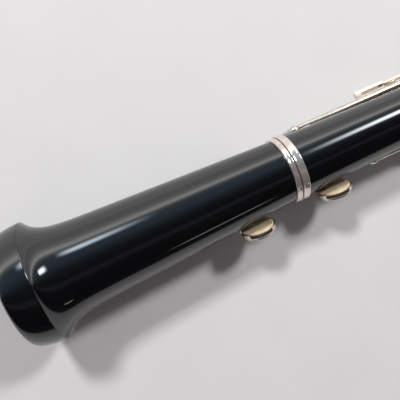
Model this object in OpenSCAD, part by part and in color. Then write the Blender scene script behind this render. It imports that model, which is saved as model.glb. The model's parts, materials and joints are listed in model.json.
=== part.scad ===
// Conservatoire oboe lying on its bell rim and the front of its keywork: bell, lower joint
// and upper joint, with the keys hung on steel rods between posts.
// Lengths are in millimetres. Along the bore, u runs from the bell mouth (0) to the reed end (total_len).
// Round the bore, the clock angle th is 0 at the front and grows towards the player's left,
// so that 180 is the thumb side.

/* [Bell] */
// Length of the bell, mouth to the face that meets the lower joint
bell_len = 124.5; // [105:0.5:150]
// Radius at the crest of the lip
lip_r = 25.8; // [22:0.1:31]
// Distance from the mouth face to the crest of the lip
lip_depth = 12.5; // [10:0.1:15]
// Radius of the lip at the mouth face
mouth_r = 22; // [20.5:0.1:23]
// Radius of the straight cone carried down to the lip crest
bell_cone_r = 19.3; // [18.5:0.1:21]
// Radius of the bell just below its ring
bell_top_r = 14.2; // [13.6:0.1:15]
// Length over which the flare above the lip dies away
flare_len = 4.6; // [3.5:0.1:5.5]
// Bore radius at the mouth
bell_bore_r = 18.6; // [17:0.1:19.4]

/* [Lower joint] */
// Length of the lower joint between its two shoulders
lower_len = 240; // [200:1:288]
// Radius at the bottom shoulder
lower_bottom_r = 14.45; // [14:0.05:15]
// Radius at mid length
lower_mid_r = 12; // [11.5:0.1:13]
// Radius over the top socket
lower_top_r = 13.3; // [12.8:0.1:14.2]
// Length of the tenon that enters the bell
bell_tenon_len = 15.5; // [13:0.5:16]
// Radius of that tenon
bell_tenon_r = 10.6; // [10.2:0.1:11]

/* [Upper joint] */
// Length of the upper joint from its shoulder to the reed end
upper_len = 226; // [189:1:271]
// Radius at the bottom shoulder
upper_bottom_r = 12.1; // [11.6:0.1:12.8]
// Radius of the neck below the crown
neck_r = 9; // [8.4:0.1:9.8]
// Largest radius of the crown
crown_r = 12.4; // [11:0.1:14.8]
// Length of the tenon that enters the lower joint
joint_tenon_len = 19; // [16:0.5:22]
// Radius of that tenon
joint_tenon_r = 8.3; // [8:0.1:8.8]
// Radius of the reed well
reed_well_r = 3.45; // [3.2:0.05:3.8]
// Depth of the reed well
reed_well_len = 21; // [17.5:0.5:25]

/* [Rings] */
// Outer radius of the two rings at the bell
bell_ring_r = 15.35; // [15.1:0.05:16.2]
// Width of the ring on the bell
bell_ring_w = 2.6; // [2:0.1:4]
// Width of the ring on the foot of the lower joint
foot_ring_w = 3.7; // [3:0.1:5]
// Width of the rings at the middle of the instrument
middle_ring_w = 3.6; // [3:0.1:5]
// Width of the ring round the reed end
crown_ring_w = 4; // [3:0.1:5]

/* [Keywork] */
// Radius of the steel hinge rods
rod_r = 1.05; // [0.9:0.01:1.2]
// Outer radius of the key tubes
tube_r = 1.7; // [1.5:0.05:1.9]
// Radius of a post's ball
ball_r = 2.35; // [2.2:0.05:2.6]
// Width of key arms along the bore
arm_w = 4.6; // [4:0.1:5.2]
// Thickness of key arms and levers
arm_t = 1.5; // [1.2:0.1:1.8]
// Height of a key cup from rim to back
cup_h = 3.4; // [3:0.1:3.8]
// How far a pad stands out of its cup
pad_proud = 0.7; // [0.5:0.05:0.9]

/* [Hidden] */
$fn = 96;

total_len = bell_len + lower_len + upper_len;
joint_u = bell_len + lower_len;

// Turn of the instrument about its bore: the front faces down, as it lies on its keys
lie_roll = 180;

// Clearances
slip = 0.02;        // a ring, post or cork in its seat
run_gap = 0.05;     // a tube on its rod, radial
end_play = 0.15;    // a tube between its posts
seat_gap = 0.15;    // a shut pad above its tone hole

seat_drop = 0.6;    // tone hole rims stand this far below the crown of the tube
rim_w = 1.2;        // width of the rim round a tone hole
facet_sink = 0.9;   // the spot-faced flat round a tone hole lies this far below its rim
cup_wall = 0.6;
cup_floor = 2;      // depth of the pad's recess
cup_step = 1;       // the back of a cup is this much smaller than its rim

post_half = 2.1;    // half the width of a post's ball between its flats
stem_r = 1.3;
collar_r = 2.3;
collar_h = 0.8;
shank_r = 1.2;
shank_len = 1.8;
screw_head_r = 1.6;
screw_head_h = 0.9;
rod_tail = 3.6;     // the long lever's rod stands out of its lower post by this much
spring_r = 0.3;
spring_len = 7;
spring_drop = 2.15; // a spring leaves its post this far inside the rod's centre line

bell_flare = lip_r - bell_cone_r;
socket_gap = 0.5;   // radial room round a tenon
cork_gap = 0.05;    // what its cork leaves of that room
cork_groove = 0.9;  // the cork is let into the wood this deep
ring_bed = 0.75;    // wood is turned down this far under a ring
end_gap = 0.4;      // between the end of a tenon and its socket's floor

lower_bore_bottom = 8;
lower_bore_top = 5.3;
upper_bore_bottom = 5.1;
upper_bore_top = 2.1;

// ---------- Outlines ----------

function smooth(t) = (1 - cos(180 * max(0, min(1, t)))) / 2;

// Bell above the lip: a straight cone plus a flare that dies away
function bell_r(u) = let (x = u - lip_depth, slope = (bell_cone_r - bell_top_r) / (bell_len - lip_depth))
    bell_cone_r - slope * x + bell_flare * exp(-x / flare_len);

// The stretch factor lays the tone holes out along joints of any length
lower_stretch = lower_len / 240;
upper_stretch = upper_len / 226;
lower_taper_len = 130 * lower_stretch;
socket_swell_len = 30;

function lower_r(u) = let (x = u - bell_len, t = max(0, 1 - x / lower_taper_len))
    lower_mid_r + (lower_bottom_r - lower_mid_r) * t * t
    + (lower_top_r - lower_mid_r) * smooth((x - lower_len + socket_swell_len) / 18);

crown_len = 40;
neck_u = total_len - crown_len;
bulb_u = total_len - 19;
crown_top_r = 10.5;
function upper_r(u) = u < neck_u
    ? upper_bottom_r - (upper_bottom_r - neck_r) * (u - joint_u) / (neck_u - joint_u)
    : u < bulb_u
    ? neck_r + (crown_r - neck_r) * smooth((u - neck_u) / (bulb_u - neck_u))
    : crown_r + (crown_top_r - crown_r) * smooth((u - bulb_u) / (total_len - 2 - bulb_u));

function body_r(u) = u < bell_len ? bell_r(u) : u < joint_u ? lower_r(u) : upper_r(u);

// Distances along a joint, from its lower shoulder
function lo(x) = bell_len + x * lower_stretch;
function up(x) = joint_u + x * upper_stretch;

// ---------- Keys ----------
// [hinge angle, hinge rise above the wood at the lower post, lower post, upper post,
//  cup position, cup angle, cup radius, turn away from the tone hole at rest]

k_low_b_flat = [-28, 3.3, bell_len - 33.5, bell_len - 6.2, bell_len - 21.2, -80, 8.1, 11];
k_low_b = [-28, 3.2, lo(8.1), lo(41.5), lo(18.2), -80, 8.2, 11];
k_low_c = [-50, 3.7, lo(45), lo(77.1), lo(55.5), -2, 8.4, -9];
k_c_sharp = [-50, 3.7, lo(77.1), lo(109.1), lo(90.5), -2, 7.4, 0];
k_e_flat = [-66, 4.3, lo(112), lo(134), lo(122.5), -104, 5.6, 0];
k_d = [-40, 4.2, lo(137), lo(160.5), lo(148.5), 2, 7.6, -8];
k_e = [-40, 4.2, lo(160.5), lo(185.1), lo(174.5), 2, 7.2, -8];
k_f_sharp = [-40, 4.2, lo(185.1), lo(209.7), lo(198.5), 2, 7, -8];
k_f = [-68, 4.2, lo(158.7), lo(188.9), lo(179.5), -106, 5.4, 0];
k_g_sharp = [52, 3.2, up(8.9), up(30.1), up(19.5), 12, 5.2, 0];
k_g = [-42, 3.8, up(28.5), up(50.7), up(39.5), 2, 6.4, -4.8];
k_a = [-42, 3.8, up(50.7), up(79.5), up(67.5), 2, 6, -4.8];
k_half_hole = [-42, 3.8, up(79.5), up(109.5), up(93.5), 2, 5.6, -4.8];
k_d_trill = [-74, 2.8, up(8.1), up(137.5), up(127.5), -34, 4.6, 0];
k_left_trill = [54, 3, up(59.5), up(145.5), up(135.5), 16, 4.4, 0];
k_side_octave = [104, 3, up(101.5), up(171.5), up(161.5), 66, 3.8, 0];

// Levers: [hinge angle, hinge rise, lower post, upper post]
k_flat_lever = [61, 3, lo(14.5), lo(222.5)];
k_b_lever = [42, 3.1, lo(26.5), lo(207.9)];

function hinge_th(k) = k[0];
// Keys that share a line share the height of its first post
function hinge_r(k) = line_start_r(k) + k[1];
function line_start_r(k) = k[0] == -50 ? body_r(k_low_c[2]) : k[0] == -40 ? lower_mid_r
    : k[0] == -42 ? body_r(k_g[2]) : body_r(k[2]);
function post_lo(k) = k[2];
function post_hi(k) = k[3];
function cup_u(k) = k[4];
function cup_th(k) = k[5];
function cup_r(k) = k[6];
function stand_open(k) = k[7];

function seat_r(k) = body_r(cup_u(k)) - seat_drop;
function rim_r(k) = seat_r(k) + seat_gap + pad_proud;
function back_r(k) = rim_r(k) + cup_h;
function hole_r(k) = 0.5 * cup_r(k);

bell_keys = [k_low_b_flat];
lower_keys = [k_low_b, k_low_c, k_c_sharp, k_e_flat, k_d, k_e, k_f_sharp, k_f];
upper_keys = [k_g_sharp, k_g, k_a, k_half_hole, k_d_trill, k_left_trill, k_side_octave];
lower_lines = concat(lower_keys, [k_flat_lever, k_b_lever]);

// Thumb octave key: it rocks on a cross pin on the thumb side
octave_th = 180;
octave_pin_u = up(125.5);
octave_pin_r = upper_r(up(125.5)) + 3.2;
octave_cup_u = up(143.5);
octave_cup_r = 3.8;
octave_post_y = 5.4;
octave_touch_u = up(109);
octave_seat_r = upper_r(octave_cup_u) - seat_drop;

// ---------- Placing ----------

// Children are drawn with X along the bore and Z outwards at clock angle th
module at(u, th) {
    translate([u - total_len, 0, 0]) rotate([th + lie_roll, 0, 0]) children();
}

module along_bore() {
    rotate([0, 90, 0]) children();
}

// A solid of revolution about the bore, from points [u, radius]
module turned(points) {
    translate([-total_len, 0, 0]) along_bore()
        rotate_extrude() polygon([for (p = points) [p[1], p[0]]]);
}

// A cylinder along the bore that starts at u, at clock angle th and radius r
module bore_line(u, th, r, radius, len) {
    at(u, th) translate([0, 0, r]) along_bore() cylinder(r = radius, h = len);
}

// Turns children about a key's hinge, as the key turns
module swing(k, angle) {
    a = hinge_th(k) + lie_roll;
    y = -hinge_r(k) * sin(a);
    z = hinge_r(k) * cos(a);
    translate([0, y, z]) rotate([angle, 0, 0]) translate([0, -y, -z]) children();
}

// ---------- Key shapes ----------

function on_clock(r, th) = let (a = th + lie_roll) [-r * sin(a), r * cos(a)];

// A band bent round the bore from th0 to th1, between radii r0 and r1, centred on u
module arc_arm(u, th0, th1, r0, r1, width) {
    far = 1.6 * r1;
    mid = (th0 + th1) / 2;
    translate([u - width / 2 - total_len, 0, 0]) rotate([90, 0, 90]) linear_extrude(width)
        intersection() {
            difference() {
                circle(r1);
                circle(r0);
            }
            polygon([[0, 0], on_clock(far, th0), on_clock(far, mid), on_clock(far, th1)]);
        }
}

// A bar along the bore from u0 to u1
module strap(u0, u1, th, r0, width, thick) {
    at(u0, th) translate([0, -width / 2, r0]) cube([u1 - u0, width, thick]);
}

// An upright from radius r0 to r1
module riser(u, th, r0, r1, width, thick) {
    at(u, th) translate([-width / 2, -thick / 2, r0]) cube([width, thick, r1 - r0]);
}

// A finger touch with round ends, lying along the bore
module paddle(u, th, r0, length, width, thick) {
    at(u, th) translate([0, 0, r0]) linear_extrude(thick) {
        square([length - width, width], center = true);
        for (end = [-1, 1]) translate([end * (length - width) / 2, 0]) circle(width / 2);
    }
}

module tube(k) {
    start = post_lo(k) + post_half + end_play;
    len = post_hi(k) - post_half - end_play - start;
    bore_line(start, hinge_th(k), hinge_r(k), tube_r, len);
}

module tube_bore(k) {
    bore_line(post_lo(k), hinge_th(k), hinge_r(k), rod_r + run_gap, post_hi(k) - post_lo(k));
}

// The cup, rim down, with its rim on z = 0
module cup_shape(radius) {
    back = radius - cup_step;
    shoulder = 0.62 * cup_h;
    round_r = 0.6;
    rotate_extrude() difference() {
        union() {
            square([radius, shoulder - round_r]);
            square([radius - round_r, shoulder]);
            translate([radius - round_r, shoulder - round_r]) circle(round_r);
            square([back, cup_h - round_r]);
            square([back - round_r, cup_h]);
            translate([back - round_r, cup_h - round_r]) circle(round_r);
        }
        square([radius - cup_wall, cup_floor]);
    }
}

// The pad fills the cup's recess and stands out of it, with a rounded face
module pad_shape(radius) {
    edge = 0.6;
    disc = radius - cup_wall - slip;
    translate([0, 0, -pad_proud]) rotate_extrude() {
        translate([0, edge]) square([disc, cup_floor + pad_proud - edge]);
        square([disc - edge, cup_floor + pad_proud]);
        translate([disc - edge, edge]) circle(edge);
    }
}

module cup_at(k) {
    at(cup_u(k), cup_th(k)) translate([0, 0, rim_r(k)]) cup_shape(cup_r(k));
}

// An arm from a key's tube round to clock angle th, with its inner face at radius r0
module arm(k, u, th, r0, width = arm_w) {
    arc_arm(u, hinge_th(k), th, r0, r0 + arm_t, width);
    inner = min(hinge_r(k) - 0.4, r0 + 0.3);
    outer = max(hinge_r(k) + 0.4, r0 + arm_t - 0.3);
    riser(u, hinge_th(k), inner, outer, width, 2 * tube_r - 0.8);
}

// Tube, cup and arm of a key, drawn shut
module cup_and_arm(k) {
    tube(k);
    cup_at(k);
    arm(k, cup_u(k), cup_th(k), back_r(k) - 0.4);
    at(cup_u(k), cup_th(k)) translate([0, 0, back_r(k) - 0.5])
        cylinder(r = arm_w / 2 + 0.5, h = arm_t + 0.4);
}

// A finger touch carried by an arm of the key
module touch(k, u, th, r0, length, width, arm_u) {
    arm(k, arm_u, th, r0 + 0.1);
    paddle(u, th, r0, length, width, arm_t);
}

module key(k) {
    color("silver") swing(k, stand_open(k)) difference() {
        union() {
            cup_and_arm(k);
            children();
        }
        tube_bore(k);
        at(cup_u(k), cup_th(k)) translate([0, 0, rim_r(k) - 1])
            cylinder(r = cup_r(k) - cup_wall, h = cup_floor + 1);
    }
}

module pad(k) {
    color("wheat") swing(k, stand_open(k))
        at(cup_u(k), cup_th(k)) translate([0, 0, rim_r(k)]) pad_shape(cup_r(k));
}

// A round finger plate on a cup's back
module finger_plate(k) {
    plate_h = 1.2;
    dish_r = 26;
    at(cup_u(k), cup_th(k)) translate([0, 0, back_r(k) + arm_t - 0.6]) difference() {
        cylinder(r = cup_r(k) - 0.4, h = plate_h);
        translate([0, 0, dish_r + plate_h - 0.6]) sphere(dish_r);
    }
}

// ---------- Fixed metalwork ----------

module post(u, th, r) {
    wood = body_r(u) - 0.35;
    difference() {
        union() {
            at(u, th) translate([0, 0, wood - shank_len]) cylinder(r = shank_r, h = r - wood + shank_len);
            at(u, th) translate([0, 0, wood]) cylinder(r = collar_r, h = collar_h);
            at(u, th) translate([0, 0, wood]) cylinder(r = stem_r, h = r - wood);
            intersection() {
                at(u, th) translate([0, 0, r]) sphere(ball_r);
                at(u, th) translate([-post_half, -5, 0]) cube([2 * post_half, 10, 60]);
            }
        }
        bore_line(u - 5, th, r, rod_r + slip, 10);
        bore_line(u - 0.2, th, r - spring_drop, spring_r + slip, 5);
    }
}

// The seat drilled in the wood for a post
module post_seat(u, th) {
    wood = body_r(u) - 0.35;
    at(u, th) translate([0, 0, wood - shank_len - slip]) cylinder(r = shank_r + slip, h = shank_len + 1);
    at(u, th) translate([0, 0, wood]) cylinder(r = collar_r + slip, h = 4);
}

// Keys that share a post are listed one after another, so a post already set is skipped
function post_done(lines, i) = len([for (j = [0:1:i - 1])
    if (hinge_th(lines[j]) == hinge_th(lines[i]) && post_hi(lines[j]) == post_lo(lines[i])) 1]) > 0;

module line_posts(lines) {
    for (i = [0:len(lines) - 1]) {
        k = lines[i];
        if (!post_done(lines, i)) post(post_lo(k), hinge_th(k), hinge_r(k));
        post(post_hi(k), hinge_th(k), hinge_r(k));
    }
}

module line_post_seats(lines) {
    for (k = lines) for (u = [post_lo(k), post_hi(k)]) post_seat(u, hinge_th(k));
}

// Steel rods, one through all the keys of a line, with a screw head outside the line's lower post
module line_rods(lines) {
    for (k = lines) {
        start = post_lo(k) - post_half;
        bore_line(start, hinge_th(k), hinge_r(k), rod_r, post_hi(k) - post_lo(k) + 2 * post_half);
        if (starts_line(lines, k))
            bore_line(start - screw_head_h, hinge_th(k), hinge_r(k), screw_head_r, screw_head_h);
    }
}

function starts_line(lines, k) = len([for (other = lines)
    if (hinge_th(other) == hinge_th(k) && post_hi(other) == post_lo(k)) 1]) == 0;

module line_springs(lines) {
    for (k = lines) bore_line(post_lo(k), hinge_th(k), hinge_r(k) - spring_drop, spring_r, spring_len);
}

// ---------- Wood ----------

// Rim and spot-faced flat of a tone hole, cut from the wood, and the hole down to the bore
module tone_hole(k) {
    at(cup_u(k), cup_th(k)) {
        cylinder(r = hole_r(k), h = 60);
        translate([0, 0, seat_r(k)]) cylinder(r = cup_r(k) + 0.5, h = 10);
        translate([0, 0, seat_r(k) - facet_sink]) difference() {
            cylinder(r = cup_r(k) + 0.5, h = 10);
            translate([0, 0, -1]) cylinder(r = hole_r(k) + rim_w, h = 12);
        }
    }
}

inner_lip_r = 1.6;
bell_floor_u = bell_len - bell_tenon_len - end_gap;
function bell_bore(u) = lower_bore_bottom + 0.2
    + (bell_bore_r - lower_bore_bottom - 0.2) * pow(max(0, 1 - u / bell_floor_u), 1.3);

module bell() {
    cone_u = lip_depth + 10;
    color([0.05, 0.05, 0.06]) difference() {
        turned(concat(
            [[0, bell_bore(inner_lip_r) + inner_lip_r], [0, mouth_r]],
            [for (a = [10:10:80]) [lip_depth * (1 - cos(a)), mouth_r + (lip_r - mouth_r) * sin(a)]],
            [for (u = [lip_depth:1.25:cone_u]) [u, bell_r(u)]],
            [for (i = [1:8]) let (u = cone_u + (bell_len - bell_ring_w - cone_u) * i / 8) [u, bell_r(u)]],
            [[bell_len - bell_ring_w, bell_top_r - ring_bed], [bell_len, bell_top_r - ring_bed]],
            [[bell_len, bell_tenon_r + socket_gap], [bell_floor_u, bell_tenon_r + socket_gap]],
            [for (i = [20:-1:1]) let (u = inner_lip_r + (bell_floor_u - inner_lip_r) * i / 20)
                [u, bell_bore(u)]],
            [for (a = [0:15:75])
                [inner_lip_r * (1 - sin(a)), bell_bore(inner_lip_r) + inner_lip_r * (1 - cos(a))]]
        ));
        for (k = bell_keys) tone_hole(k);
        line_post_seats(bell_keys);
    }
}

// A tenon's outline from its free end to its shoulder, with the groove for its cork
tenon_land = 2.2;   // wood left on each side of the cork
function tenon(end_u, shoulder_u, r) = [
    [end_u, r], [end_u + tenon_land, r],
    [end_u + tenon_land, r - cork_groove], [shoulder_u - tenon_land, r - cork_groove],
    [shoulder_u - tenon_land, r], [shoulder_u, r]
];

module lower_joint() {
    foot_u = bell_len - bell_tenon_len;
    socket_u = joint_u - joint_tenon_len - end_gap;
    first_u = bell_len + foot_ring_w;
    last_u = joint_u - middle_ring_w;
    color([0.05, 0.05, 0.06]) difference() {
        turned(concat(
            [[foot_u, lower_bore_bottom]],
            tenon(foot_u, bell_len, bell_tenon_r),
            [[bell_len, lower_bottom_r - ring_bed], [first_u, lower_bottom_r - ring_bed]],
            [for (i = [0:32]) let (u = first_u + (last_u - first_u) * i / 32) [u, lower_r(u)]],
            [[last_u, lower_top_r - ring_bed], [joint_u, lower_top_r - ring_bed]],
            [[joint_u, joint_tenon_r + socket_gap], [socket_u, joint_tenon_r + socket_gap]],
            [[socket_u, lower_bore_top]]
        ));
        for (k = lower_keys) tone_hole(k);
        line_post_seats(lower_lines);
        rest_screw_places() cylinder(r = rest_screw_r + slip, h = 12);
    }
}

module upper_joint() {
    foot_u = joint_u - joint_tenon_len;
    first_u = joint_u + middle_ring_w;
    last_u = total_len - crown_ring_w;
    color([0.05, 0.05, 0.06]) difference() {
        turned(concat(
            [[foot_u, upper_bore_bottom]],
            tenon(foot_u, joint_u, joint_tenon_r),
            [[joint_u, upper_bottom_r - ring_bed], [first_u, upper_bottom_r - ring_bed]],
            [[first_u, upper_r(first_u)], [neck_u, upper_r(neck_u)]],
            [for (i = [1:24]) let (u = neck_u + (last_u - neck_u) * i / 24) [u, upper_r(u)]],
            [[last_u, crown_top_r - ring_bed], [total_len, crown_top_r - ring_bed]],
            [[total_len, reed_well_r], [total_len - reed_well_len, reed_well_r]],
            [[total_len - reed_well_len, upper_bore_top]]
        ));
        for (k = upper_keys) tone_hole(k);
        octave_hole();
        line_post_seats(upper_keys);
        for (side = [-1, 1]) octave_post_place(side) cylinder(r = shank_r + slip, h = 20);
    }
}

// A ring with rounded edges, outer radius r, from u over width w, round wood turned down to bed_r
module ring(u, w, r, bed_r) {
    edge = 0.5;
    inner = bed_r + slip;
    color("silver") turned(concat(
        [[u, inner]],
        [for (a = [0:15:90]) [u + edge * (1 - cos(a)), r - edge * (1 - sin(a))]],
        [for (a = [0:15:90]) [u + w - edge * (1 - sin(a)), r - edge * (1 - cos(a))]],
        [[u + w, inner]]
    ));
}

module bell_ring() {
    ring(bell_len - bell_ring_w, bell_ring_w, bell_ring_r, bell_top_r - ring_bed);
}

module foot_ring() {
    ring(bell_len, foot_ring_w, bell_ring_r, lower_bottom_r - ring_bed);
}

module socket_ring() {
    ring(joint_u - middle_ring_w, middle_ring_w, lower_top_r + 0.9, lower_top_r - ring_bed);
}

module shoulder_ring() {
    ring(joint_u, middle_ring_w, lower_top_r + 0.9, upper_bottom_r - ring_bed);
}

module crown_ring() {
    ring(total_len - crown_ring_w, crown_ring_w, crown_top_r + 0.7, crown_top_r - ring_bed);
}

// A cork sleeve in a tenon's groove
module cork(end_u, shoulder_u, r) {
    first = end_u + tenon_land + slip;
    last = shoulder_u - tenon_land - slip;
    color("tan") turned([
        [first, r - cork_groove + slip], [first, r], [first + 0.6, r + socket_gap - cork_gap],
        [last - 0.6, r + socket_gap - cork_gap], [last, r], [last, r - cork_groove + slip]
    ]);
}

module bell_tenon_cork() {
    cork(bell_len - bell_tenon_len, bell_len, bell_tenon_r);
}

module joint_tenon_cork() {
    cork(joint_u - joint_tenon_len, joint_u, joint_tenon_r);
}

// ---------- Posts, rods and springs ----------

module bell_posts() {
    color("silver") line_posts(bell_keys);
}

module lower_posts() {
    color("silver") line_posts(lower_lines);
}

module upper_posts() {
    color("silver") {
        line_posts(upper_keys);
        for (side = [-1, 1]) octave_post(side);
    }
}

module bell_hinge_rod() {
    color("gray") line_rods(bell_keys);
}

module lower_hinge_rods() {
    k = k_flat_lever;
    color("gray") {
        line_rods(lower_lines);
        bore_line(post_lo(k) - post_half - rod_tail, hinge_th(k), hinge_r(k), 1.2, rod_tail);
    }
}

module upper_hinge_rods() {
    color("gray") {
        line_rods(upper_keys);
        octave_pin();
    }
}

module lower_needle_springs() {
    color("slategray") line_springs(lower_lines);
}

module upper_needle_springs() {
    color("slategray") line_springs(upper_keys);
}

// ---------- Keys of the bell and lower joint ----------

link_th = 10;       // clock angle at which the left-hand levers meet the low keys
link_r = 20;        // inner radius of the low keys' linking arms, shut
foot_drop = 1.75;   // inner face of a lever's foot, below its hinge
b_flat_foot_u = lo(19.5);
b_foot_u = lo(34.5);

module low_b_flat_key() {
    k = k_low_b_flat;
    link_u = post_hi(k) - 5.5;
    key(k) {
        arm(k, link_u, link_th + 8, link_r + 0.5);
        strap(link_u - arm_w / 2, b_flat_foot_u + arm_w / 2, link_th, link_r + 0.4, arm_w, arm_t);
    }
}

module low_b_flat_pad() {
    pad(k_low_b_flat);
}

module low_b_key() {
    k = k_low_b;
    key(k) arm(k, b_foot_u, link_th, link_r);
}

module low_b_pad() {
    pad(k_low_b);
}

touch_th = 94;      // little finger touches of the left hand
touch_r = 19;
bar_w = 2.6;        // width of the bar that braces the long lever

// A lever turns in its posts and lifts a low key's linking arm with its foot
module lever(k) {
    color("silver") difference() {
        union() {
            tube(k);
            children();
        }
        tube_bore(k);
    }
}

module low_b_flat_lever() {
    k = k_flat_lever;
    bridge_u = lo(51);
    lever(k) {
        arm(k, b_flat_foot_u, link_th - 4, hinge_r(k) - foot_drop);
        riser(bridge_u, 62, hinge_r(k), 20.6, bar_w, 2.4);
        strap(bridge_u - bar_w / 2, bridge_u + 14, 62, 20.3, bar_w, arm_t);
        touch(k, lo(211), touch_th, touch_r, 17, 7.5, lo(208));
    }
}

module low_b_lever() {
    k = k_b_lever;
    lever(k) {
        arm(k, b_foot_u, link_th - 4, hinge_r(k) - foot_drop);
        arm(k, lo(70), 62, 20);
        strap(lo(70) - 4.4, lo(70) + 7, 61, 20.2, 2.1, 1.1);
        touch(k, lo(192), touch_th - 6, 20.6, 17, 7.5, lo(189));
    }
}

// The low C key reaches over the C sharp key to its touch
module low_c_key() {
    k = k_low_c;
    key(k) {
        arm(k, post_hi(k) - 6, -24, link_r + 1);
        strap(post_hi(k) - 6 - arm_w / 2, lo(117), -26, link_r + 1, arm_w, arm_t);
        paddle(lo(117), -26, link_r + 1, 15, 8, arm_t);
    }
}

module low_c_pad() {
    pad(k_low_c);
}

module c_sharp_key() {
    k = k_c_sharp;
    key(k) touch(k, lo(102.5), -78, 18, 10, 8, lo(102));
}

module c_sharp_pad() {
    pad(k_c_sharp);
}

module e_flat_key() {
    k = k_e_flat;
    key(k) touch(k, lo(128.8), -46, 18.6, 9, 7.4, lo(128.2));
}

module e_flat_pad() {
    pad(k_e_flat);
}

module d_key() {
    key(k_d) finger_plate(k_d);
}

module d_pad() {
    pad(k_d);
}

module e_key() {
    key(k_e) finger_plate(k_e);
}

module e_pad() {
    pad(k_e);
}

module f_sharp_key() {
    key(k_f_sharp) finger_plate(k_f_sharp);
}

module f_sharp_pad() {
    pad(k_f_sharp);
}

// The F touch reaches over the hinge of the D and E keys to lie between their plates
module f_key() {
    k = k_f;
    key(k) {
        arm(k, lo(165), -14, 20.4, 3.2);
        paddle(lo(163.2), -14, 20.3, 9, 6.6, arm_t);
    }
}

module f_pad() {
    pad(k_f);
}

// ---------- Keys of the upper joint ----------

module g_sharp_key() {
    k = k_g_sharp;
    key(k) touch(k, up(25), 88, 16.5, 14, 7, up(23));
}

module g_sharp_pad() {
    pad(k_g_sharp);
}

module g_key() {
    key(k_g) finger_plate(k_g);
}

module g_pad() {
    pad(k_g);
}

module a_key() {
    key(k_a) finger_plate(k_a);
}

module a_pad() {
    pad(k_a);
}

// The half-hole plate carries a tail for the rolling first finger
module half_hole_key() {
    k = k_half_hole;
    plate_r = back_r(k) + arm_t - 0.6;
    key(k) {
        finger_plate(k);
        paddle(cup_u(k) - cup_r(k) - 2.6, cup_th(k), plate_r, 11, 8, 1.2);
    }
}

module half_hole_pad() {
    pad(k_half_hole);
}

module d_trill_key() {
    k = k_d_trill;
    key(k) touch(k, up(18), -104, 15, 16, 6, up(16));
}

module d_trill_pad() {
    pad(k_d_trill);
}

module left_trill_key() {
    k = k_left_trill;
    key(k) touch(k, up(68), 84, 16, 16, 6, up(66));
}

module left_trill_pad() {
    pad(k_left_trill);
}

module side_octave_key() {
    k = k_side_octave;
    key(k) touch(k, up(108), 134, 15.4, 15, 6.5, post_lo(k) + 4.5);
}

module side_octave_pad() {
    pad(k_side_octave);
}

// ---------- Thumb octave key ----------

octave_rim_r = octave_seat_r + seat_gap + pad_proud;
octave_bar_r = octave_pin_r - 0.8;
octave_post_base = sqrt(pow(upper_r(octave_pin_u), 2) - pow(octave_post_y, 2)) - 1.8;

module octave_hole() {
    at(octave_cup_u, octave_th) {
        cylinder(r = 1.6, h = 60);
        translate([0, 0, octave_seat_r]) cylinder(r = octave_cup_r + 0.5, h = 10);
    }
}

module octave_post_place(side) {
    at(octave_pin_u, octave_th) translate([0, side * octave_post_y, octave_post_base]) children();
}

module octave_post(side) {
    difference() {
        union() {
            octave_post_place(side) cylinder(r = shank_r, h = octave_pin_r - octave_post_base);
            at(octave_pin_u, octave_th) translate([0, side * octave_post_y, octave_pin_r])
                intersection() {
                    sphere(2);
                    cube([4, 2.6, 4], center = true);
                }
        }
        octave_axis() cylinder(r = 0.8 + slip, h = 20, center = true);
    }
}

module octave_axis() {
    at(octave_pin_u, octave_th) translate([0, 0, octave_pin_r]) rotate([90, 0, 0]) children();
}

module octave_pin() {
    octave_axis() cylinder(r = 0.8, h = 2 * octave_post_y + 2.6, center = true);
}

module thumb_octave_key() {
    bar_len = octave_cup_u - octave_touch_u;
    color("silver") difference() {
        union() {
            at(octave_touch_u, octave_th) translate([0, -2, octave_bar_r]) cube([bar_len, 4, 1.6]);
            octave_axis() cylinder(r = 1.9, h = 2 * (octave_post_y - 1.3 - end_play), center = true);
            at(octave_touch_u, octave_th) translate([0, 0, octave_bar_r]) cylinder(r = 6, h = 1.6);
            at(octave_cup_u, octave_th) translate([0, 0, octave_rim_r]) {
                cup_shape(octave_cup_r);
                cylinder(r = 2, h = octave_bar_r + 1.6 - octave_rim_r);
            }
        }
        octave_axis() cylinder(r = 0.8 + run_gap, h = 20, center = true);
        at(octave_cup_u, octave_th) translate([0, 0, octave_rim_r - 1])
            cylinder(r = octave_cup_r - cup_wall, h = cup_floor + 1);
    }
}

module thumb_octave_pad() {
    color("wheat") at(octave_cup_u, octave_th) translate([0, 0, octave_rim_r]) pad_shape(octave_cup_r);
}

// ---------- Thumb rest ----------

rest_u = lo(172);
rest_len = 24;
rest_half_th = 34;
rest_t = 1.4;
rest_screw_r = 0.9;
rest_r = lower_mid_r + 0.05;
strap_eye_r = 2.6;
strap_eye_w = 2;
hook_h = 13;
hook_t = 2;

module rest_screw_places() {
    for (x = [-rest_len / 2 + 3.5, rest_len / 2 - 3.5])
        at(rest_u + x, 180) translate([0, 0, lower_mid_r - 3]) children();
}

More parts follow.
